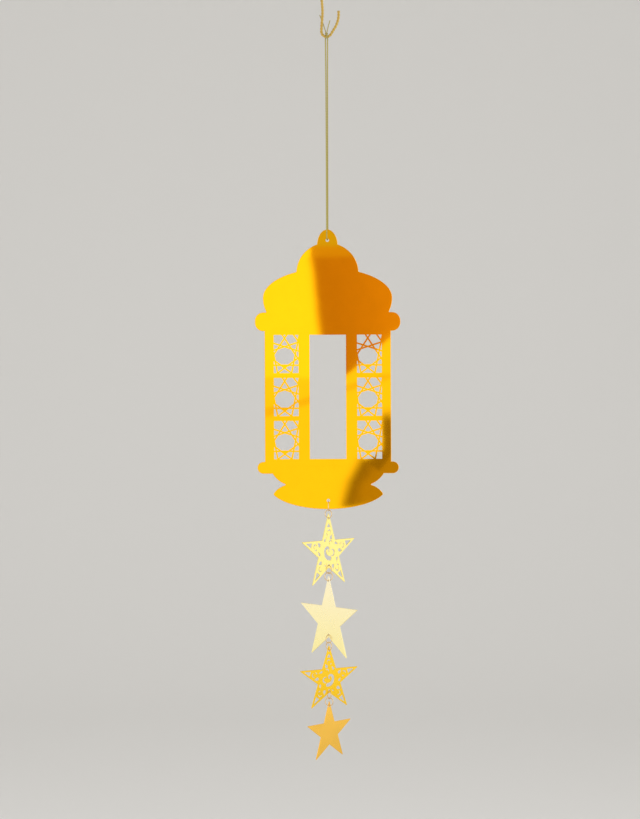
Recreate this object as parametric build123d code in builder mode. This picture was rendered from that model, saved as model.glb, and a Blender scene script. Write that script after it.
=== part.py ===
from build123d import *
import math
import os

# A sheet-metal lantern that hangs on a doubled thread from a wire hook, with a chain of four stars
# linked below it by pairs of jump rings. Millimetres, +Z up, the front faces -Y. The origin is the
# point inside the hook's upper crook that rests on a nail or rod, and the chain hangs along X = Y = 0.

os.makedirs("parts", exist_ok=True)

# Hook: one wire, a crook at each end
HOOK_WIRE = 1.6
HOOK_CROOK_RADIUS = 2.8
HOOK_DROP = 26.6
HOOK_UPPER_END = 1.5
HOOK_ARM_SLOPE = 58.0
HOOK_ARM_RUN = 4.0
HOOK_ARM_BEND = 14.5
HOOK_ARM_TURN = 32.0
HOOK_ARM_END = 1.7

# Thread: doubled, tied on the lower crook, folded through the lantern's top hole
THREAD = 0.7
THREAD_DROP = 112.0
THREAD_SPACING = 1.2
THREAD_CLOSE_DROP = 12.0
THREAD_CLOSE_HALF = 0.4
THREAD_CORNER_SHARE = 0.45
THREAD_KNOT_GAP = 0.2
THREAD_MIDDLE_GAP = 0.1
FOLD_CLEARANCE = 0.3
FOLD_SPREAD = 0.3
FOLD_FLAT = 0.1
FOLD_SEAT_GAP = 0.25

# Knot: one turn round the wire, a small lump above it and two cut ends, whose points are given from the
# lump's middle
KNOT_CLEARANCE = 0.1
KNOT_LUMP = 1.0
KNOT_TAG = 0.5
RIGHT_TAG = ((0.1, -0.2, 0.0), (0.75, -0.45, 3.7), (1.93, -0.3, 7.4))
LEFT_TAG = ((-0.1, 0.2, 0.0), (-1.43, 0.95, 5.3), (-3.7, 1.6, 10.9))
TURN_SAMPLES = 48

# Lantern plate: heights of its tiers from the top down; the tiers' half widths follow from the body's
PLATE_THICKNESS = 0.8
PLATE_EDGE = 0.2
TAB_HEIGHT = 9.0
TAB_HALF = 5.7
DOME_HEIGHT = 13.9
DOME_RISE = 15.6
DOME_SINK = 1.0
DOME_HALF = 17.1
ROOF_HEIGHT = 14.7
ROOF_RISE = 16.3
ROOF_SETBACK = 4.45
ROOF_TUCK_HEIGHT = 7.95
ROOF_TUCK_RADIUS = 17.0
EAVE_HEIGHT = 10.3
EAVE_OVERHANG = 5.3
EAVE_ROUND = 4.6
CREASE = 0.3
BODY_HEIGHT = 71.9
BODY_HALF = 34.7
LEDGE_HEIGHT = 6.5
LEDGE_OVERHANG = 4.15
BOWL_HEIGHT = 6.15
BOWL_SETBACK = 8.25
BOWL_BULGE = 0.9
WAIST_SETBACK = 7.8
FLARE_BULGE = 0.95
FOOT_SETBACK = 0.3
FOOT_HEIGHT = 13.45
FOOT_ROUND = 1.0
BELLY_OVERHANG = 1.7
BELLY_RISE = 12.1
PLATE_HOLE = 1.85
TOP_HOLE_DROP = 5.94
BOTTOM_HOLE_RISE = 4.75

# Window and lattice tiles, cut through the lantern's body
WINDOW_HALF = 10.0
WINDOW_HEIGHT = 68.3
WINDOW_TOP = 2.1
TILE_WIDTH = 13.6
TILE_INSET = 5.0
TILE_BAR = 2.7
TILE_ROWS = 3
STRUT = 0.9
STRUT_COUNT = 9
NET_HALF_WIDTH = 5.65
NET_HALF_HEIGHT = 4.95
NET_OFFSET_X = -0.87
NET_OFFSET_Z = -1.25
CORNER_STRUT_LENGTH = 6.0
CORNER_STRUT_INSET = 1.45
CORNER_STRUT_DROP = 1.65
CORNER_STRUT_TURN = -54.0
SMALLEST_CELL = 0.35

# Jump rings: each link is an upper ring in the sheet above and a lower ring in the star below
RING_WIRE = 0.5
RING_DIAMETER = 5.0
FIRST_RING_DIAMETER = 5.8
RING_SPLIT = 0.12
RING_SEAT = 0.06
PLATE_RING_SAG = 0.45
STAR_RING_SAG = 0.15
STAR_HANG = 0.18

# Stars: tip radius and turn about the hanging line
STAR_THICKNESS = 0.5
STAR_EDGE = 0.1
STAR_TIP_ROUND = 0.25
STAR_HOLE = 1.2
STAR_HOLE_DROP = 3.24
STAR_NOTCH_RIM = 1.3
STAR_RADII = (21.9, 24.6, 19.1, 17.5)
STAR_TURNS = (45.0, -48.0, 207.0, 43.0)
UPPER_RING_TURNS = (90.0, -45.0, 42.0, -63.0)
LOWER_RING_TURNS = (-38.0, 20.0, -50.0, -20.0)
STAR_NAMES = ("filigree_star_upper", "plain_star_upper", "filigree_star_lower", "plain_star_lower")
STAR_PIERCED = (True, False, True, False)

# Openings of a pierced star, in star radii. An arm's openings are given along it and across it, with a
# length and a width or a radius, and a turn in degrees; the middle's curls are given across and up.
ARM_DROPS = (
    (0.37, -0.08, 0.15, 0.095, -30),
    (0.3, 0.14, 0.14, 0.07, -38),
    (0.44, 0.06, 0.085, 0.042, 30),
)
ARM_CURL = (0.515, -0.01, 0.062, 150)
MIDDLE_CURLS = ((0.125, -0.01, 0.09, 180), (0.06, 0.25, 0.06, -60), (-0.13, -0.3, 0.045, 120))
CURL_HOLLOW = 0.8
CURL_SHIFT = 0.35
ARM_TIP_BASE = 0.63
ARM_TIP_POINT = 0.86
LINK_ARM_TIP_POINT = 0.75
ARM_TIP_HALF = 0.07
ARM_TIP_ROUND = 0.012

# Largest distance at which a corner of an outline counts as being at a height
NEAR = 0.01


def facing_plane(height, turn):
    """Upright plane on the hanging line that faces the front, turned about +Z by degrees."""
    angle = math.radians(turn)
    return Plane(
        origin=(0, 0, height),
        x_dir=(math.cos(angle), math.sin(angle), 0),
        z_dir=(math.sin(angle), -math.cos(angle), 0),
    )


def teardrop(length, width):
    """Teardrop with its round end round the origin and its point along +X."""
    radius = width / 2
    reach = length - radius
    angle = math.acos(radius / reach)
    touch = (radius * math.cos(angle), radius * math.sin(angle))
    with BuildSketch() as drop:
        with BuildLine():
            Polyline(touch, (reach, 0), (touch[0], -touch[1]))
            ThreePointArc((touch[0], -touch[1]), (-radius, 0), touch)
        make_face()
    return drop.sketch


def scroll(radius):
    """Comma-shaped opening at the middle of a pierced star, drawn in star radii from the star's front."""
    with BuildSketch() as comma:
        with BuildLine():
            outer_low = ThreePointArc((0.085, -0.2), (-0.09, -0.165), (-0.165, 0.0))
            outer_high = ThreePointArc(outer_low @ 1, (-0.13, 0.12), (-0.055, 0.155))
            outer_curl = ThreePointArc(outer_high @ 1, (0.022, 0.115), (0.02, 0.045))
            tip = ThreePointArc(outer_curl @ 1, (-0.005, 0.012), (-0.03, 0.03))
            inner_curl = ThreePointArc(tip @ 1, (-0.02, 0.07), (-0.05, 0.088))
            inner_high = ThreePointArc(inner_curl @ 1, (-0.078, 0.055), (-0.08, 0.0))
            inner_low = ThreePointArc(inner_high @ 1, (-0.035, -0.07), (0.045, -0.095))
            ThreePointArc(inner_low @ 1, (0.1, -0.14), outer_low @ 0)
        make_face()
        scale(by=radius)
    return comma.sketch


def curl(radius):
    """Crescent-shaped opening with its horns towards +X."""
    with BuildSketch() as crescent:
        Circle(radius)
        with Locations((CURL_SHIFT * radius, 0)):
            Circle(CURL_HOLLOW * radius, mode=Mode.SUBTRACT)
    return crescent.sketch


def tip_opening(base, point, half, rounding):
    """Triangular opening near an arm's tip, with its point along +X."""
    with BuildSketch() as opening:
        with BuildLine():
            Polyline((base, -half), (point, 0), (base, half), close=True)
        make_face()
        fillet(opening.vertices(), rounding)
    return opening.sketch


def filigree(radius):
    """Openings of a pierced star: five alike arms round one scroll."""
    with BuildSketch() as openings:
        add(scroll(radius))
        for across, up, size, turn in MIDDLE_CURLS:
            with Locations(Location((across * radius, up * radius, 0), (0, 0, turn))):
                add(curl(size * radius))
        for arm in range(5):
            is_link_arm = arm == 0
            is_above_lower_hole = arm == 2
            point = LINK_ARM_TIP_POINT if is_link_arm else ARM_TIP_POINT
            with Locations(Location((0, 0, 0), (0, 0, 90 + 72 * arm))):
                add(
                    tip_opening(
                        ARM_TIP_BASE * radius, point * radius, ARM_TIP_HALF * radius, ARM_TIP_ROUND * radius
                    )
                )
                along, across, size, turn = ARM_CURL
                with Locations(Location((along * radius, across * radius, 0), (0, 0, turn))):
                    add(curl(size * radius))
                for along, across, length, width, turn in ARM_DROPS:
                    if is_above_lower_hole and across > 0:
                        continue
                    with Locations(Location((along * radius, across * radius, 0), (0, 0, turn))):
                        add(teardrop(length * radius, width * radius))
    return openings.sketch


def hanging_star(radius, height, turn, pierced, linked):
    """Five-pointed sheet star with a hole in its top arm and, where linked, one above its lower notch."""
    notch_radius = radius * math.sin(math.radians(18)) / math.sin(math.radians(54))
    corners = []
    for corner in range(10):
        reach = notch_radius if corner % 2 else radius
        angle = math.radians(90 + 36 * corner)
        corners.append((reach * math.cos(angle), reach * math.sin(angle)))
    plane = facing_plane(height, turn)
    with BuildPart() as star:
        with BuildSketch(plane) as outline:
            with BuildLine():
                Polyline(*corners, close=True)
            make_face()
            fillet(outline.vertices().group_by(SortBy.DISTANCE)[-1], STAR_TIP_ROUND)
        extrude(amount=STAR_THICKNESS / 2, both=True)
        sides = star.faces().sort_by(Axis(plane.origin, plane.z_dir))
        chamfer(sides[0].edges() + sides[-1].edges(), STAR_EDGE)
        with BuildSketch(plane):
            if pierced:
                add(filigree(radius))
            with Locations((0, radius - STAR_HOLE_DROP)):
                Circle(STAR_HOLE / 2)
            if linked:
                with Locations((0, STAR_NOTCH_RIM - notch_radius)):
                    Circle(STAR_HOLE / 2)
        extrude(amount=STAR_THICKNESS, both=True, mode=Mode.SUBTRACT)
    return star.part


def jump_ring(top, turn, diameter):
    """Split wire ring whose topmost wire centre is at a height, turned about +Z by degrees."""
    middle = (diameter - RING_WIRE) / 2
    plane = facing_plane(top - middle, turn)
    split = math.degrees(RING_SPLIT / middle)
    with BuildPart() as ring:
        with BuildSketch(Plane(plane.origin, x_dir=plane.x_dir, z_dir=plane.y_dir)):
            with Locations((middle, 0)):
                Circle(RING_WIRE / 2)
        revolve(axis=Axis(plane.origin, plane.z_dir), revolution_arc=360 - split)
    return ring.part


def corner_radius(before, corner, after):
    """Radius of the arc at a corner of a thread's path, as large as its two runs allow."""
    arriving = Vector(corner) - Vector(before)
    leaving = Vector(after) - Vector(corner)
    half_turn = math.radians(arriving.get_angle(leaving)) / 2
    return THREAD_CORNER_SHARE * min(arriving.length, leaving.length) / math.tan(half_turn)


def strand(points, bend, diameter):
    """Run of thread along a path whose corners are rounded, and the path's length."""
    with BuildPart() as run:
        with BuildLine() as path:
            FilletPolyline(*points, radius=bend)
        with BuildSketch(Plane(path.line @ 0, z_dir=path.line % 0)):
            Circle(diameter / 2)
        sweep(path=path.line)
    return run.part, sum(edge.length for edge in path.edges())


# Heights along the hanging line
hook_inner = HOOK_CROOK_RADIUS - HOOK_WIRE / 2
crook_bottom = -HOOK_DROP
knot_radius = HOOK_WIRE / 2 + THREAD / 2 + KNOT_CLEARANCE
knot_axis = crook_bottom + (THREAD_SPACING / 2) ** 2 / (4 * HOOK_CROOK_RADIUS)
thread_top = knot_axis - knot_radius - THREAD / 2 - THREAD_KNOT_GAP
top_hole = crook_bottom - THREAD_DROP
fold_bottom = top_hole + PLATE_HOLE / 2 - FOLD_SEAT_GAP - THREAD / 2
fold_half = PLATE_THICKNESS / 2 + THREAD / 2 + FOLD_CLEARANCE
fold_radius = math.hypot(fold_half, FOLD_SPREAD) - FOLD_FLAT / 2
plate_top = top_hole + TOP_HOLE_DROP
tab_base = plate_top - TAB_HEIGHT
dome_base = tab_base - DOME_HEIGHT
roof_widest = dome_base - ROOF_HEIGHT
eave_top = roof_widest - ROOF_TUCK_HEIGHT
body_top = eave_top - EAVE_HEIGHT
body_bottom = body_top - BODY_HEIGHT
ledge_bottom = body_bottom - LEDGE_HEIGHT
waist = ledge_bottom - BOWL_HEIGHT
plate_bottom = waist - FOOT_HEIGHT
bottom_hole = plate_bottom + BOTTOM_HOLE_RISE

# Half widths of the plate's tiers
eave_half = BODY_HALF + EAVE_OVERHANG
roof_half = eave_half - ROOF_SETBACK
ledge_half = BODY_HALF + LEDGE_OVERHANG
bowl_half = ledge_half - BOWL_SETBACK
waist_half = bowl_half - WAIST_SETBACK
foot_half = bowl_half - FOOT_SETBACK
belly_half = foot_half + BELLY_OVERHANG
tip_angle = math.acos(foot_half / belly_half)
foot_tip = plate_bottom + BELLY_RISE * (1 - math.sin(tip_angle))

# Hook
with BuildPart() as hanging_hook:
    with BuildLine(Plane.XZ) as hook_path:
        upper_end = Line(
            (HOOK_CROOK_RADIUS, -hook_inner - HOOK_UPPER_END),
            (HOOK_CROOK_RADIUS, -hook_inner),
        )
        upper_crook = JernArc(upper_end @ 1, upper_end % 1, HOOK_CROOK_RADIUS, 180)
        stem = Line(upper_crook @ 1, (-HOOK_CROOK_RADIUS, crook_bottom + HOOK_CROOK_RADIUS))
        lower_crook = JernArc(stem @ 1, stem % 1, HOOK_CROOK_RADIUS, 90 + HOOK_ARM_SLOPE)
        arm = Line(lower_crook @ 1, (lower_crook @ 1) + (lower_crook % 1) * HOOK_ARM_RUN)
        arm_bend = JernArc(arm @ 1, arm % 1, HOOK_ARM_BEND, HOOK_ARM_TURN)
        Line(arm_bend @ 1, (arm_bend @ 1) + (arm_bend % 1) * HOOK_ARM_END)
    with BuildSketch(Plane(hook_path.line @ 0, z_dir=hook_path.line % 0)):
        Circle(HOOK_WIRE / 2)
    sweep(path=hook_path.line)
hanging_hook.part.label = "hanging_hook"
export_step(hanging_hook.part, "parts/hanging_hook.step")

# Knot
lump = Vector(0, 0, knot_axis + knot_radius + KNOT_LUMP / 2 - THREAD / 2)
with BuildPart() as thread_knot:
    with BuildLine() as turns:
        Helix(
            THREAD_SPACING,
            THREAD_SPACING,
            knot_radius,
            center=(THREAD_SPACING / 2, 0, knot_axis),
            direction=(-1, 0, 0),
        )
    with BuildSketch(Plane(turns.line @ 0, z_dir=turns.line % 0)):
        Circle(THREAD / 2)
    sweep(path=turns.line, is_frenet=True)
    with Locations(lump):
        Sphere(KNOT_LUMP / 2)
    for tag in (RIGHT_TAG, LEFT_TAG):
        tag_points = [lump + Vector(point) for point in tag]
        add(strand(tag_points, corner_radius(*tag_points), KNOT_TAG)[0])
thread_knot.part.label = "thread_knot"
export_step(thread_knot.part, "parts/thread_knot.step")

# Thread
left_top = Vector(-THREAD_SPACING / 2, 0, thread_top)
right_top = Vector(THREAD_SPACING / 2, 0, thread_top)
left_close = Vector(-THREAD_CLOSE_HALF, 0, thread_top - THREAD_CLOSE_DROP)
right_close = Vector(THREAD_CLOSE_HALF, 0, thread_top - THREAD_CLOSE_DROP)
left_foot = Vector(-FOLD_SPREAD, -fold_half, fold_bottom)
right_foot = Vector(FOLD_SPREAD, fold_half, fold_bottom)
left_run = left_foot - left_close
right_run = right_foot - right_close
split_share = THREAD_MIDDLE_GAP / 2 / left_run.length
left_points = (left_top, left_close, left_close + left_run * (0.5 - split_share))
right_points = (right_top, right_close, right_close + right_run * (0.5 - split_share))
close_radius = corner_radius(*left_points)
left_upper, left_length = strand(left_points, close_radius, THREAD)
right_upper, right_length = strand(right_points, close_radius, THREAD)
with BuildPart() as thread_upper:
    add(left_upper)
    add(right_upper)
thread_upper.part.label = "thread_upper"
export_step(thread_upper.part, "parts/thread_upper.step")

fold, fold_length = strand(
    (
        left_close + left_run * (0.5 + split_share),
        left_foot,
        right_foot,
        right_close + right_run * (0.5 + split_share),
    ),
    fold_radius,
    THREAD,
)
with BuildPart() as thread_lower:
    add(fold)
thread_lower.part.label = "thread_lower"
export_step(thread_lower.part, "parts/thread_lower.step")

# One lattice tile: struts that run tangent to an ellipse, and a short one across a corner
window_middle = body_top - WINDOW_TOP - WINDOW_HEIGHT / 2
tile_height = (WINDOW_HEIGHT - (TILE_ROWS - 1) * TILE_BAR) / TILE_ROWS
tile_column = BODY_HALF - TILE_INSET - TILE_WIDTH / 2
with BuildSketch() as tile:
    Rectangle(TILE_WIDTH, tile_height)
    for count in range(STRUT_COUNT):
        angle = math.radians(360 / STRUT_COUNT * count - 90)
        along = (-NET_HALF_WIDTH * math.sin(angle), NET_HALF_HEIGHT * math.cos(angle))
        middle = (
            NET_OFFSET_X + NET_HALF_WIDTH * math.cos(angle),
            NET_OFFSET_Z + NET_HALF_HEIGHT * math.sin(angle),
        )
        turn = math.degrees(math.atan2(along[1], along[0]))
        with Locations(Location((*middle, 0), (0, 0, turn))):
            Rectangle(2 * tile_height, STRUT, mode=Mode.SUBTRACT)
    corner = (TILE_WIDTH / 2 - CORNER_STRUT_INSET, tile_height / 2 - CORNER_STRUT_DROP, 0)
    with Locations(Location(corner, (0, 0, CORNER_STRUT_TURN))):
        Rectangle(CORNER_STRUT_LENGTH, STRUT, mode=Mode.SUBTRACT)
cells = [cell for cell in tile.sketch.faces() if cell.area > SMALLEST_CELL]

# Lantern plate
with BuildPart() as lantern_plate:
    with BuildSketch(Plane.XZ) as plate_outline:
        with Locations((0, tab_base)):
            Ellipse(TAB_HALF, TAB_HEIGHT)
        with Locations((0, dome_base - DOME_SINK)):
            Ellipse(DOME_HALF, DOME_RISE + DOME_SINK)
        with BuildLine():
            EllipticalCenterArc((0, roof_widest), roof_half, ROOF_RISE, start_angle=0, arc_size=180)
            tuck = math.degrees(math.asin(ROOF_TUCK_HEIGHT / ROOF_TUCK_RADIUS))
            left_tuck = JernArc((-roof_half, roof_widest), (0, -1), ROOF_TUCK_RADIUS, tuck)
            right_tuck = JernArc((roof_half, roof_widest), (0, -1), ROOF_TUCK_RADIUS, -tuck)
            Line(left_tuck @ 1, right_tuck @ 1)
        make_face()
        with Locations((0, (eave_top + body_top) / 2)):
            RectangleRounded(2 * eave_half, EAVE_HEIGHT, EAVE_ROUND)
        creases = plate_outline.vertices().filter_by_position(Axis.Y, eave_top - NEAR, eave_top + NEAR)
        fillet(creases.sort_by(SortBy.DISTANCE)[:2], CREASE)
        with Locations((0, (body_top + body_bottom) / 2)):
            Rectangle(2 * BODY_HALF, BODY_HEIGHT + LEDGE_HEIGHT)
        with Locations((0, (body_bottom + ledge_bottom) / 2)):
            SlotOverall(2 * ledge_half, LEDGE_HEIGHT)
        with BuildLine():
            rim = Line((-bowl_half, body_bottom), (bowl_half, body_bottom))
            right_drop = Line(rim @ 1, (bowl_half, ledge_bottom))
            right_bowl = SagittaArc(right_drop @ 1, (waist_half, waist), BOWL_BULGE)
            SagittaArc(right_bowl @ 1, (foot_half, foot_tip), FLARE_BULGE)
            EllipticalCenterArc(
                (0, plate_bottom + BELLY_RISE),
                belly_half,
                BELLY_RISE,
                start_angle=180 + math.degrees(tip_angle),
                arc_size=180 - 2 * math.degrees(tip_angle),
            )
            left_flare = SagittaArc((-foot_half, foot_tip), (-waist_half, waist), FLARE_BULGE)
            left_bowl = SagittaArc(left_flare @ 1, (-bowl_half, ledge_bottom), BOWL_BULGE)
            Line(left_bowl @ 1, rim @ 0)
        make_face()
        tips = plate_outline.vertices().filter_by_position(Axis.Y, foot_tip - NEAR, foot_tip + NEAR)
        fillet(tips, FOOT_ROUND)
        notches = plate_outline.vertices().filter_by_position(Axis.Y, waist - NEAR, waist + NEAR)
        fillet(notches, CREASE)
    extrude(amount=PLATE_THICKNESS / 2, both=True)
    sides = lantern_plate.faces().sort_by(Axis.Y)
    chamfer(sides[0].edges() + sides[-1].edges(), PLATE_EDGE)
    with BuildSketch(Plane.XZ):
        with Locations((0, window_middle)):
            Rectangle(2 * WINDOW_HALF, WINDOW_HEIGHT)
        with Locations((-tile_column, window_middle), (tile_column, window_middle)):
            with GridLocations(0, tile_height + TILE_BAR, 1, TILE_ROWS):
                add(cells)
        with Locations((0, top_hole), (0, bottom_hole)):
            Circle(PLATE_HOLE / 2)
    extrude(amount=PLATE_THICKNESS, both=True, mode=Mode.SUBTRACT)
lantern_plate.part.label = "lantern_plate"
export_step(lantern_plate.part, "parts/lantern_plate.step")

# Links and stars, from the plate down
upper_top = bottom_hole - PLATE_RING_SAG
upper_diameter = FIRST_RING_DIAMETER
for link in range(len(STAR_RADII)):
    upper_ring = jump_ring(upper_top, UPPER_RING_TURNS[link], upper_diameter)
    upper_ring.label = f"ring_{link + 1}_upper"
    export_step(upper_ring, f"parts/{upper_ring.label}.step")
    upper_bottom = upper_top - (upper_diameter - RING_WIRE)
    lower_top = upper_bottom + RING_WIRE + RING_SEAT
    lower_ring = jump_ring(lower_top, LOWER_RING_TURNS[link], RING_DIAMETER)
    lower_ring.label = f"ring_{link + 1}_lower"
    export_step(lower_ring, f"parts/{lower_ring.label}.step")
    star_hole = lower_top - (RING_DIAMETER - RING_WIRE) - STAR_HANG
    radius = STAR_RADII[link]
    centre = star_hole + STAR_HOLE_DROP - radius
    is_linked = link < len(STAR_RADII) - 1
    star = hanging_star(radius, centre, STAR_TURNS[link], STAR_PIERCED[link], is_linked)
    star.label = STAR_NAMES[link]
    export_step(star, f"parts/{star.label}.step")
    print(star.label, "centre", round(centre, 3), "top hole", round(star_hole, 3))
    print("  upper ring wire", round(upper_top, 3), "to", round(upper_bottom, 3))
    print("  lower ring wire", round(lower_top, 3), "to", round(star_hole + STAR_HANG, 3))
    notch = centre - radius * math.sin(math.radians(18)) / math.sin(math.radians(54))
    upper_top = notch + STAR_NOTCH_RIM - STAR_RING_SAG
    upper_diameter = RING_DIAMETER

# Swept wire and thread: volume of the solid against its section times its length
hook_length = sum(edge.length for edge in hook_path.edges())
hook_volume = math.pi * HOOK_WIRE**2 / 4 * hook_length
print("hook volume", round(hanging_hook.part.volume, 3), "section x length", round(hook_volume, 3))
fold_volume = math.pi * THREAD**2 / 4 * fold_length
print("fold volume", round(thread_lower.part.volume, 3), "section x length", round(fold_volume, 3))
upper_volume = math.pi * THREAD**2 / 4 * (left_length + right_length)
print("strands volume", round(thread_upper.part.volume, 3), "section x length", round(upper_volume, 3))
print("radii: fold", round(fold_radius, 3), "closing", round(close_radius, 1), "crook", HOOK_CROOK_RADIUS)
turn_points = [turns.line @ (step / TURN_SAMPLES) for step in range(TURN_SAMPLES + 1)]
turn_gap = min(
    (first - second).length - THREAD
    for index, first in enumerate(turn_points)
    for second in turn_points[index + TURN_SAMPLES // 2 :]
)
print("least gap of the knot's turn to itself", round(turn_gap, 3))
print("thread top", round(thread_top, 3), "fold bottom", round(fold_bottom, 3), "fold half", fold_half)
thread_length = left_length + right_length + fold_length
print("thread length", round(thread_length, 3), "knot axis", round(knot_axis, 3), "radius", knot_radius)
print("plate top", round(plate_top, 3), "bottom", round(plate_bottom, 3))
print("window middle", round(window_middle, 3), "cells", len(cells))
print("top hole", round(top_hole, 3), "bottom hole", round(bottom_hole, 3), "lump", round(lump.Z, 3))
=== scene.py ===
import math

import bpy
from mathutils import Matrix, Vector


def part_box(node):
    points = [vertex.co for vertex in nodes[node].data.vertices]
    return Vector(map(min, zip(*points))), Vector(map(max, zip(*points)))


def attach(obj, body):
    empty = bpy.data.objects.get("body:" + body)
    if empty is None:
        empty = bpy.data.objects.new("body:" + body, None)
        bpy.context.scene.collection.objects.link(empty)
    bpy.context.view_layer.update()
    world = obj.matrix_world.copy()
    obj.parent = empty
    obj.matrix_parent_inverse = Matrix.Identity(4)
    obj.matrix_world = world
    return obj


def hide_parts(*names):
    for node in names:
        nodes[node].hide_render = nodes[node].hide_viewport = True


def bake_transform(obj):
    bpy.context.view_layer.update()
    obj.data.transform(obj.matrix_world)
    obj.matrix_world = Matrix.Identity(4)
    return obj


# Lengths are in millimetres, places are in the frame of the part and angles in degrees
MM = 0.001

# Camera: level, at the height of the lantern's middle, rolled a little
LENS = 70.3
SENSOR = 36.0
CAMERA_X = -4.39
CAMERA_Y = -880.0
CAMERA_Z = -231.7
CAMERA_ROLL = 0.23

# Thread: two strands that close in below the knot and fold through the top hole
THREAD = 0.7
THREAD_TOP = -28.368
THREAD_HALF = 0.6
CLOSE_DROP = 12.0
CLOSE_HALF = 0.4
FOLD_BOTTOM = -138.275
FOLD_HALF = 1.05
FOLD_SPREAD = 0.3
DIAMETERS_FROM_FOLD = 6

# Hook: a bent wire of two twisted plies
WIRE = 1.6
CROOK = 2.8
HOOK_DROP = 26.6
TIP_RUN = 1.5
LOWER_TURN = 148.0
ARM_RUN = 4.0
FLARE_TURN = 32.0
FLARE_RADIUS = 14.5
END_RUN = 1.7
STEM_BOW = 0.65
PLY = 0.43
PITCH = 3.4
STATION_STEP = 0.16
INNER = CROOK - WIRE / 2
STEM = HOOK_DROP - CROOK - INNER
PLY_OFFSET = WIRE / 2 - PLY

# Knot: one turn of the thread round the hook, a small trefoil tied above it and two cut ends
KNOT_AXIS = -26.568
KNOT_RADIUS = 1.25
KNOT_FOOT = KNOT_AXIS - KNOT_RADIUS
KNOT_LUMP = -25.168
KNOT_STEPS = 96
TREFOIL = 0.24
TREFOIL_THREAD = 0.4
TAG = 0.5
RIGHT_TAG = ((0.1, -0.2, 0.0), (0.75, -0.45, 3.7), (1.93, -0.3, 7.4))
LEFT_TAG = ((-0.1, 0.2, 0.0), (-1.43, 0.95, 5.3), (-3.7, 1.6, 10.9))

# Tubes of wire and thread: a direction that none of them starts along
TUBE_SIDE = Vector((0.1, 1, 0))

# Metal finish: textures in repeats a metre, shares of the written colour and roughness, relief in metres
CLOUD_SCALE = 140
CLOUD_SHADE = 0.92
HAZE_LEAST = 0.8
HAZE_MOST = 1.2
GRAIN_SCALE = 2400
GRAIN_RELIEF = 1.5e-7

# Thread finish, in the same units
FIBRE_SCALE = 420
FIBRE_WOBBLE = 0.6
FIBRE_RELIEF = 1e-5

# Studio: colours of the room and of the panels that the polished metal mirrors
PALE = (0.80, 0.79, 0.77)
ROOM_LIGHT = 0.9
FRONT_LIGHT = (1.3, 1.3, 1.3)
LEFT_LIGHT = (1.57, 1.57, 1.57)
TOP_LIGHT = (0.72, 0.7, 0.68)
STRIP_LIGHT = (1.0, 1.0, 1.0)
SIDE_RIGHT_LIGHT = (1.25, 1.25, 1.25)
SIDE_LEFT_LIGHT = (1.05, 1.05, 1.05)
WARM_LIP = (0.745, 0.515, 0.4)
WARM = (0.6, 0.34, 0.19)
WARM_FAR = (0.9, 0.52, 0.28)
BROWN = (0.3, 0.235, 0.16)
BROWN_FAR = (0.515, 0.4, 0.2)
NEAREST_PANEL = -1084
SIDE_PANEL = 650

# Brown band: corners from the camera's axis, up its left edge and up its right edge
BAND_LEFT = ((31, -119), (40, -87), (54, -62), (76, -50), (76, -13))
BAND_RIGHT = ((59.4, -119), (55.7, -94), (71.8, -75), (87.9, -53), (87.9, -13))
BAND_REACH = 160

# Key lamp: place and sizes in metres
KEY_PLACE = Vector((-0.7, -0.9, 0.25))
KEY_AIM = Vector((0, 0, -0.22))
KEY_WIDTH = 1.2
KEY_HEIGHT = 1.6
KEY_ENERGY = 4

# Floor that curves up into a wall far behind
FLOOR = -650
FLOOR_REACH = 9000
WALL_FOOT = 1300
WALL_CURVE = 1300
WALL_TOP = 6000
WALL_STEPS = 24

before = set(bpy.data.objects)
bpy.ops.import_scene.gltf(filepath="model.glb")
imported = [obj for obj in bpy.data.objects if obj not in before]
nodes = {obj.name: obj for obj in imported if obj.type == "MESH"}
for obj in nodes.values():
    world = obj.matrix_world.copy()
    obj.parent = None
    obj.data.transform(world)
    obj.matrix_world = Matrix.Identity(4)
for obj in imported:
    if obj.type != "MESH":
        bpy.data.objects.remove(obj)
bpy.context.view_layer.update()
scene = bpy.context.scene
scene.view_settings.view_transform = "Standard"

# Camera
camera_data = bpy.data.cameras.new("camera")
camera_data.lens = LENS
camera_data.sensor_width = SENSOR
camera_data.clip_start = 0.01
camera_data.clip_end = 50.0
camera = bpy.data.objects.new("camera", camera_data)
camera.location = Vector((CAMERA_X, CAMERA_Y, CAMERA_Z)) * MM
camera.rotation_euler = (math.radians(90), math.radians(CAMERA_ROLL), 0)
scene.collection.objects.link(camera)
scene.camera = camera


# Materials
def noise_texture(tree, scale, detail):
    """Noise that stays with the piece."""
    place = tree.nodes.new("ShaderNodeTexCoord")
    noise = tree.nodes.new("ShaderNodeTexNoise")
    noise.inputs["Scale"].default_value = scale
    noise.inputs["Detail"].default_value = detail
    tree.links.new(place.outputs["Object"], noise.inputs["Vector"])
    return noise


def tint(tree, texture, dark, bright):
    """Colours the shader between two shades by a texture."""
    ramp = tree.nodes.new("ShaderNodeValToRGB")
    ramp.color_ramp.elements[0].color = (*dark, 1)
    ramp.color_ramp.elements[1].color = (*bright, 1)
    tree.links.new(texture.outputs["Fac"], ramp.inputs["Fac"])
    tree.links.new(ramp.outputs["Color"], tree.nodes["Principled BSDF"].inputs["Base Color"])
    return ramp


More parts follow.
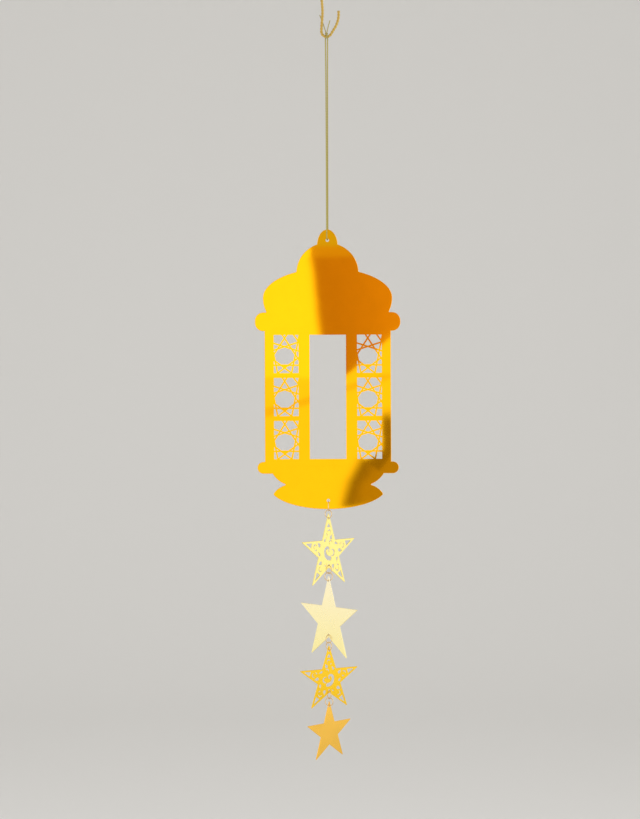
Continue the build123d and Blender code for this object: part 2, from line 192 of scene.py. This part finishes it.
def deepen_downwards(tree, ramp, node, tone):
    """Multiplies a ramp's colour by a tone, from not at all at a node's top to fully at its bottom."""
    low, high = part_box(node)
    place = tree.nodes.new("ShaderNodeTexCoord")
    split = tree.nodes.new("ShaderNodeSeparateXYZ")
    depth = tree.nodes.new("ShaderNodeMapRange")
    depth.inputs["From Min"].default_value = high[2]
    depth.inputs["From Max"].default_value = low[2]
    deepen = tree.nodes.new("ShaderNodeMixRGB")
    deepen.blend_type = "MULTIPLY"
    deepen.inputs["Color2"].default_value = (*tone, 1)
    tree.links.new(place.outputs["Object"], split.inputs["Vector"])
    tree.links.new(split.outputs["Z"], depth.inputs["Value"])
    tree.links.new(depth.outputs["Result"], deepen.inputs["Fac"])
    tree.links.new(ramp.outputs["Color"], deepen.inputs["Color1"])
    tree.links.new(deepen.outputs["Color"], tree.nodes["Principled BSDF"].inputs["Base Color"])


def raise_by(tree, texture, height):
    """Bump of a height in metres that follows a texture."""
    bump = tree.nodes.new("ShaderNodeBump")
    bump.inputs["Distance"].default_value = height
    tree.links.new(texture.outputs["Fac"], bump.inputs["Height"])
    return bump


def metal(name, color, roughness, wave, wave_scale, deeper=None):
    """Polished metal with faint clouding, a fine grain and a slight waviness of a height in metres.

    Where deeper is given, it names a node and the tone that the colour takes on towards its bottom.
    """
    material = bpy.data.materials.new(name)
    material.use_nodes = True
    tree = material.node_tree
    shader = tree.nodes["Principled BSDF"]
    shader.inputs["Metallic"].default_value = 1
    clouds = noise_texture(tree, CLOUD_SCALE, detail=3)
    ramp = tint(tree, clouds, [CLOUD_SHADE * part for part in color], color)
    if deeper:
        deepen_downwards(tree, ramp, *deeper)
    haze = tree.nodes.new("ShaderNodeMapRange")
    haze.inputs["To Min"].default_value = HAZE_LEAST * roughness
    haze.inputs["To Max"].default_value = HAZE_MOST * roughness
    tree.links.new(clouds.outputs["Fac"], haze.inputs["Value"])
    tree.links.new(haze.outputs["Result"], shader.inputs["Roughness"])
    grain = raise_by(tree, noise_texture(tree, GRAIN_SCALE, detail=2), GRAIN_RELIEF)
    waviness = raise_by(tree, noise_texture(tree, wave_scale, detail=2), wave)
    tree.links.new(grain.outputs["Normal"], waviness.inputs["Normal"])
    tree.links.new(waviness.outputs["Normal"], shader.inputs["Normal"])
    return material


def thread_material():
    """Metallic thread: olive gold fibre with fine slanting plies."""
    material = bpy.data.materials.new("gold_thread")
    material.use_nodes = True
    tree = material.node_tree
    shader = tree.nodes["Principled BSDF"]
    shader.inputs["Metallic"].default_value = 0.3
    shader.inputs["Roughness"].default_value = 0.45
    place = tree.nodes.new("ShaderNodeTexCoord")
    plies = tree.nodes.new("ShaderNodeTexWave")
    plies.bands_direction = "DIAGONAL"
    plies.inputs["Scale"].default_value = FIBRE_SCALE
    plies.inputs["Distortion"].default_value = FIBRE_WOBBLE
    tree.links.new(place.outputs["Object"], plies.inputs["Vector"])
    tint(tree, plies, dark=(0.36, 0.30, 0.07), bright=(0.44, 0.37, 0.10))
    bump = raise_by(tree, plies, FIBRE_RELIEF)
    tree.links.new(bump.outputs["Normal"], shader.inputs["Normal"])
    return material


def paint(obj, material):
    """Gives a piece its material."""
    obj.data.materials.clear()
    obj.data.materials.append(material)


plate_gold = metal("plate_gold", (1.0, 0.48, 0.004), roughness=0.035, wave=4e-5, wave_scale=18)
pierced_pale_gold = metal("pierced_pale_gold", (0.95, 0.80, 0.26), roughness=0.28, wave=2e-5, wave_scale=60)
pale_gold = metal(
    "pale_gold",
    (1.0, 0.89, 0.60),
    roughness=0.28,
    wave=2e-5,
    wave_scale=60,
    deeper=("plain_star_upper", (1, 0.98, 0.63)),
)
pierced_gold = metal("pierced_gold", (1.0, 0.62, 0.03), roughness=0.22, wave=2e-5, wave_scale=60)
star_gold = metal("star_gold", (1.0, 0.58, 0.09), roughness=0.25, wave=2e-5, wave_scale=60)
ring_gold = metal("ring_gold", (0.84, 0.62, 0.34), roughness=0.22, wave=1e-5, wave_scale=300)
hook_gold = metal("hook_gold", (0.70, 0.49, 0.13), roughness=0.3, wave=2e-5, wave_scale=300)
gold_thread = thread_material()

# Plate, stars and rings keep their solids
paint(nodes["lantern_plate"], plate_gold)
paint(nodes["filigree_star_upper"], pierced_pale_gold)
paint(nodes["plain_star_upper"], pale_gold)
paint(nodes["filigree_star_lower"], pierced_gold)
paint(nodes["plain_star_lower"], star_gold)
for link in range(1, 5):
    paint(nodes[f"ring_{link}_upper"], ring_gold)
    paint(nodes[f"ring_{link}_lower"], ring_gold)


# Cords
def smooth_line(name, points, resolution):
    """Curve of one open spline that runs smoothly along control points given in millimetres."""
    data = bpy.data.curves.new(name, "CURVE")
    data.dimensions = "3D"
    data.resolution_u = resolution
    spline = data.splines.new("NURBS")
    spline.points.add(len(points) - 1)
    for point, place in zip(spline.points, points):
        point.co = (*(Vector(place) * MM), 1)
    spline.order_u = 3
    spline.use_endpoint_u = True
    line = bpy.data.objects.new(name, data)
    scene.collection.objects.link(line)
    return line


def curve_mesh(line):
    """Mesh of a curve as it stands: its bare line where it has no bevel."""
    bpy.context.view_layer.update()
    return bpy.data.meshes.new_from_object(line.evaluated_get(bpy.context.evaluated_depsgraph_get()))


def cord_piece(name, points, diameter, resolution):
    """Round cord along control points in millimetres: its piece and the path of its middle."""
    line = smooth_line(name, points, resolution)
    path = [vertex.co.copy() for vertex in curve_mesh(line).vertices]
    line.data.bevel_depth = diameter / 2 * MM
    line.data.bevel_resolution = 3
    line.data.use_fill_caps = True
    mesh = curve_mesh(line)
    bpy.data.objects.remove(line)
    for polygon in mesh.polygons:
        polygon.use_smooth = True
    piece = bpy.data.objects.new(name, mesh)
    scene.collection.objects.link(piece)
    paint(piece, gold_thread)
    return piece, path


# Thread: one length that comes down from the knot, folds through the top hole and goes back up
left_close = Vector((-CLOSE_HALF, 0, THREAD_TOP - CLOSE_DROP))
right_close = Vector((CLOSE_HALF, 0, THREAD_TOP - CLOSE_DROP))
left_foot = Vector((-FOLD_SPREAD, -FOLD_HALF, FOLD_BOTTOM))
right_foot = Vector((FOLD_SPREAD, FOLD_HALF, FOLD_BOTTOM))
near_fold = DIAMETERS_FROM_FOLD * THREAD / (left_close - left_foot).length
thread_route = [
    Vector((-THREAD_HALF, 0, KNOT_FOOT)),
    left_close,
    left_foot + (left_close - left_foot) * near_fold,
    left_foot,
    right_foot,
    right_foot + (right_close - right_foot) * near_fold,
    right_close,
    Vector((THREAD_HALF, 0, KNOT_FOOT)),
]
thread, thread_path = cord_piece("hanging_thread", thread_route, THREAD, resolution=60)
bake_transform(thread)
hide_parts("thread_upper", "thread_lower")

# Hook: two plies twisted together along the bent wire, given as lengths and turns from its upper tip
hook_bends = (
    (TIP_RUN, 0.0),
    (math.pi * CROOK, 180.0),
    (STEM, 0.0),
    (math.radians(LOWER_TURN) * CROOK, LOWER_TURN),
    (ARM_RUN, 0.0),
    (math.radians(FLARE_TURN) * FLARE_RADIUS, FLARE_TURN),
    (END_RUN, 0.0),
)


def hook_stations(step):
    """Stations along the hook's centre line: place, direction and distance from its upper tip."""
    place = Vector((CROOK, 0, -INNER - TIP_RUN))
    heading = math.radians(90)
    travelled = 0.0
    stations = []
    for length, turn in hook_bends:
        count = max(1, round(length / step))
        part = length / count
        bend = math.radians(turn) / count
        for _ in range(count):
            stations.append((place.copy(), heading, travelled))
            middle = heading + bend / 2
            chord = part if bend == 0 else part * math.sin(bend / 2) / (bend / 2)
            place += Vector((math.cos(middle), 0, math.sin(middle))) * chord
            heading += bend
            travelled += part
    stations.append((place.copy(), heading, travelled))
    return stations


def ply_line(stations, phase):
    """Centre line of one ply that winds round the hook's centre line, which bows a little at the stem."""
    centres = []
    for place, heading, travelled in stations:
        down = (-INNER - place.z) / STEM
        if place.x < 0 and 0 < down < 1:
            place = place + Vector((STEM_BOW * math.sin(math.pi * down) ** 2, 0, 0))
        turn = phase + 2 * math.pi * travelled / PITCH
        across = Vector((-math.sin(heading), 0, math.cos(heading)))
        offset = across * math.cos(turn) + Vector((0, 1, 0)) * math.sin(turn)
        centres.append(place + offset * PLY_OFFSET)
    return centres


def tube(centres, radius, sides):
    """Vertices and faces of a round tube with closed ends along a centre line."""
    vertices = []
    faces = []
    side = TUBE_SIDE
    for index, centre in enumerate(centres):
        before = centres[max(index - 1, 0)]
        after = centres[min(index + 1, len(centres) - 1)]
        along = (after - before).normalized()
        side = (side - along * side.dot(along)).normalized()
        other = along.cross(side)
        for corner in range(sides):
            angle = 2 * math.pi * corner / sides
            vertices.append((centre + (side * math.cos(angle) + other * math.sin(angle)) * radius) * MM)
    for index in range(len(centres) - 1):
        for corner in range(sides):
            a = index * sides + corner
            b = index * sides + (corner + 1) % sides
            faces.append((a, b, b + sides, a + sides))
    faces.append(tuple(range(sides))[::-1])
    faces.append(tuple(range((len(centres) - 1) * sides, len(centres) * sides)))
    return vertices, faces


def tube_piece(name, lines, radius, sides):
    """Piece made of one tube along each line."""
    vertices = []
    faces = []
    for line in lines:
        base = len(vertices)
        line_vertices, line_faces = tube(line, radius, sides)
        vertices += line_vertices
        faces += [tuple(base + corner for corner in face) for face in line_faces]
    mesh = bpy.data.meshes.new(name)
    mesh.from_pydata(vertices, [], faces)
    mesh.validate()
    for polygon in mesh.polygons:
        polygon.use_smooth = len(polygon.vertices) == 4
    piece = bpy.data.objects.new(name, mesh)
    scene.collection.objects.link(piece)
    return piece


stations = hook_stations(STATION_STEP)
plies = [ply_line(stations, phase) for phase in (0.0, math.pi)]
hook = tube_piece("twisted_hook", plies, PLY, sides=14)
paint(hook, hook_gold)
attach(hook, "hook")
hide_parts("hanging_hook")

# Knot: the turn, the trefoil and the two cut ends, all on the hook
lump = Vector((0, 0, KNOT_LUMP))
turn_line = []
trefoil_line = []
for step in range(KNOT_STEPS + 1):
    angle = 2 * math.pi * step / KNOT_STEPS
    sideways = THREAD_HALF * (1 - 2 * step / KNOT_STEPS)
    turn_line.append(
        Vector((sideways, -KNOT_RADIUS * math.sin(angle), KNOT_AXIS - KNOT_RADIUS * math.cos(angle)))
    )
    trefoil = Vector(
        (
            math.sin(angle) + 2 * math.sin(2 * angle),
            -math.sin(3 * angle),
            math.cos(angle) - 2 * math.cos(2 * angle),
        )
    )
    trefoil_line.append(lump + TREFOIL * trefoil)
knot_turn = tube_piece("knot_turn", [turn_line], THREAD / 2, sides=12)
knot_tie = tube_piece("knot_tie", [trefoil_line], TREFOIL_THREAD / 2, sides=10)
for piece in (knot_turn, knot_tie):
    paint(piece, gold_thread)
    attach(piece, "hook")
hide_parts("thread_knot")
right_tag, _ = cord_piece("right_tag", [lump + Vector(point) for point in RIGHT_TAG], TAG, resolution=24)
left_tag, _ = cord_piece("left_tag", [lump + Vector(point) for point in LEFT_TAG], TAG, resolution=24)
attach(right_tag, "hook")
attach(left_tag, "hook")


# Studio: soft panels in front and at the sides, which the polished metal mirrors
def panel(name, corners, color, far_color=None):
    """Lit panel that the camera doesn't see, with corners in millimetres.

    Where a far colour is given, the panel has four corners and fades from its first and last corner to the
    two between them.
    """
    mesh = bpy.data.meshes.new(name)
    mesh.from_pydata([Vector(corner) * MM for corner in corners], [], [tuple(range(len(corners)))])
    material = bpy.data.materials.new(name)
    material.use_nodes = True
    tree = material.node_tree
    tree.nodes.remove(tree.nodes["Principled BSDF"])
    glow = tree.nodes.new("ShaderNodeEmission")
    glow.inputs["Color"].default_value = (*color, 1)
    tree.links.new(glow.outputs["Emission"], tree.nodes["Material Output"].inputs["Surface"])
    if far_color:
        across = mesh.uv_layers.new(name="across")
        for loop, place in zip(across.data, ((0, 0), (1, 0), (1, 1), (0, 1))):
            loop.uv = place
        split = tree.nodes.new("ShaderNodeSeparateXYZ")
        fade = tree.nodes.new("ShaderNodeValToRGB")
        fade.color_ramp.interpolation = "EASE"
        fade.color_ramp.elements[0].color = (*color, 1)
        fade.color_ramp.elements[1].color = (*far_color, 1)
        coordinates = tree.nodes.new("ShaderNodeTexCoord")
        tree.links.new(coordinates.outputs["UV"], split.inputs["Vector"])
        tree.links.new(split.outputs["X"], fade.inputs["Fac"])
        tree.links.new(fade.outputs["Color"], glow.inputs["Color"])
    mesh.materials.append(material)
    made = bpy.data.objects.new(name, mesh)
    made.visible_camera = False
    made.visible_shadow = False
    scene.collection.objects.link(made)


def rectangle(left, right, low, high):
    return [(left, low), (right, low), (right, high), (left, high)]


def facing(outline, behind):
    """Corners of an upright panel in front of the object, a distance behind the nearest of them.

    The outline is given from the camera's axis.
    """
    return [(CAMERA_X + across, NEAREST_PANEL - behind, CAMERA_Z + up) for across, up in outline]


def beside(place, near, far, low, high):
    """Corners of an upright panel at one side of the object."""
    return [(place, near, low), (place, far, low), (place, far, high), (place, near, high)]


panel("soft_front", facing(rectangle(-900, 900, -700, 900), behind=316), FRONT_LIGHT)
panel(
    "soft_left",
    facing([(-700, 40), (10, 40), (0, 110), (-11, 190), (-11, 205), (-700, 205)], behind=26),
    LEFT_LIGHT,
)
panel("soft_top", facing(rectangle(-700, 700, 203, 700), behind=28), TOP_LIGHT)
panel("warm_lip", facing(rectangle(-11, 260, 190, 203), behind=20), WARM_LIP)
panel("warm_card", facing([(6, 40), (150, 40), (150, 190), (-10, 190)], behind=18), WARM, WARM_FAR)
panel("warm_fade", facing([(0, 30), (14, 30), (-4, 190), (-18, 190)], behind=14), LEFT_LIGHT, WARM)
panel(
    "under_card",
    facing([(-20, 27), (10, 27), (38, 47), (84, 86), (150, 130), (150, -60), (-20, -60)], behind=10),
    FRONT_LIGHT,
)
panel("dim_strip", facing([(-70, -10.5), (87, 39), (87, 45), (-70, 0.6)], behind=4), STRIP_LIGHT)
for level, name in enumerate(("brown_low", "brown_middle")):
    stretch = [BAND_LEFT[level], BAND_RIGHT[level], BAND_RIGHT[level + 1], BAND_LEFT[level + 1]]
    panel(name, facing(stretch, behind=2), BROWN, BROWN_FAR)
panel("brown_high", facing([BAND_LEFT[2], *BAND_RIGHT[2:], *BAND_LEFT[:2:-1]], behind=2), BROWN)
panel("fade_top", facing([(76, 4), (76, -14), (87.9, -14), (87.9, 4)], behind=0), FRONT_LIGHT, BROWN)
panel("fade_low", facing([(18, -119), (34, -119), (43, -87), (26, -87)], behind=0), FRONT_LIGHT, BROWN)
panel("fade_high", facing([(26, -87), (43, -87), (57, -62), (41, -56)], behind=0), FRONT_LIGHT, BROWN)
band_side = [
    BAND_RIGHT[-1],
    (BAND_REACH, BAND_RIGHT[-1][1]),
    (BAND_REACH, BAND_RIGHT[0][1]),
    *BAND_RIGHT[:-1],
]
panel("brown_side", facing(band_side, behind=6), BROWN_FAR)
panel("side_right", beside(SIDE_PANEL, -900, 600, -520, 300), SIDE_RIGHT_LIGHT)
panel("side_left", beside(-SIDE_PANEL, 600, -900, -520, 300), SIDE_LEFT_LIGHT)

# Room
world = bpy.data.worlds.new("pale_room")
world.use_nodes = True
background = world.node_tree.nodes["Background"]
background.inputs["Color"].default_value = (*PALE, 1)
background.inputs["Strength"].default_value = ROOM_LIGHT
scene.world = world

# Key lamp: soft, and kept out of the reflections, which show the panels alone
key_data = bpy.data.lights.new("key", "AREA")
key_data.shape = "RECTANGLE"
key_data.size = KEY_WIDTH
key_data.size_y = KEY_HEIGHT
key_data.energy = KEY_ENERGY
key = bpy.data.objects.new("key", key_data)
key.location = KEY_PLACE
key.rotation_euler = (KEY_AIM - KEY_PLACE).to_track_quat("-Z", "Y").to_euler()
key.visible_camera = False
key.visible_glossy = False
scene.collection.objects.link(key)

# Floor and wall
profile = [(-FLOOR_REACH, FLOOR), (WALL_FOOT, FLOOR)]
for step in range(1, WALL_STEPS + 1):
    angle = math.radians(90 * step / WALL_STEPS)
    profile.append((WALL_FOOT + WALL_CURVE * math.sin(angle), FLOOR + WALL_CURVE * (1 - math.cos(angle))))
profile.append((WALL_FOOT + WALL_CURVE, WALL_TOP))
floor_vertices = []
for across in (-FLOOR_REACH, FLOOR_REACH):
    floor_vertices += [Vector((across, y, z)) * MM for y, z in profile]
row = len(profile)
floor_faces = [(i + row, i + row + 1, i + 1, i) for i in range(row - 1)]
floor_mesh = bpy.data.meshes.new("floor")
floor_mesh.from_pydata(floor_vertices, [], floor_faces)
for polygon in floor_mesh.polygons:
    polygon.use_smooth = True
floor = bpy.data.objects.new("floor", floor_mesh)
scene.collection.objects.link(floor)
floor_material = bpy.data.materials.new("floor")
floor_material.use_nodes = True
floor_shader = floor_material.node_tree.nodes["Principled BSDF"]
floor_shader.inputs["Base Color"].default_value = (*PALE, 1)
floor_shader.inputs["Roughness"].default_value = 0.9
floor.data.materials.append(floor_material)
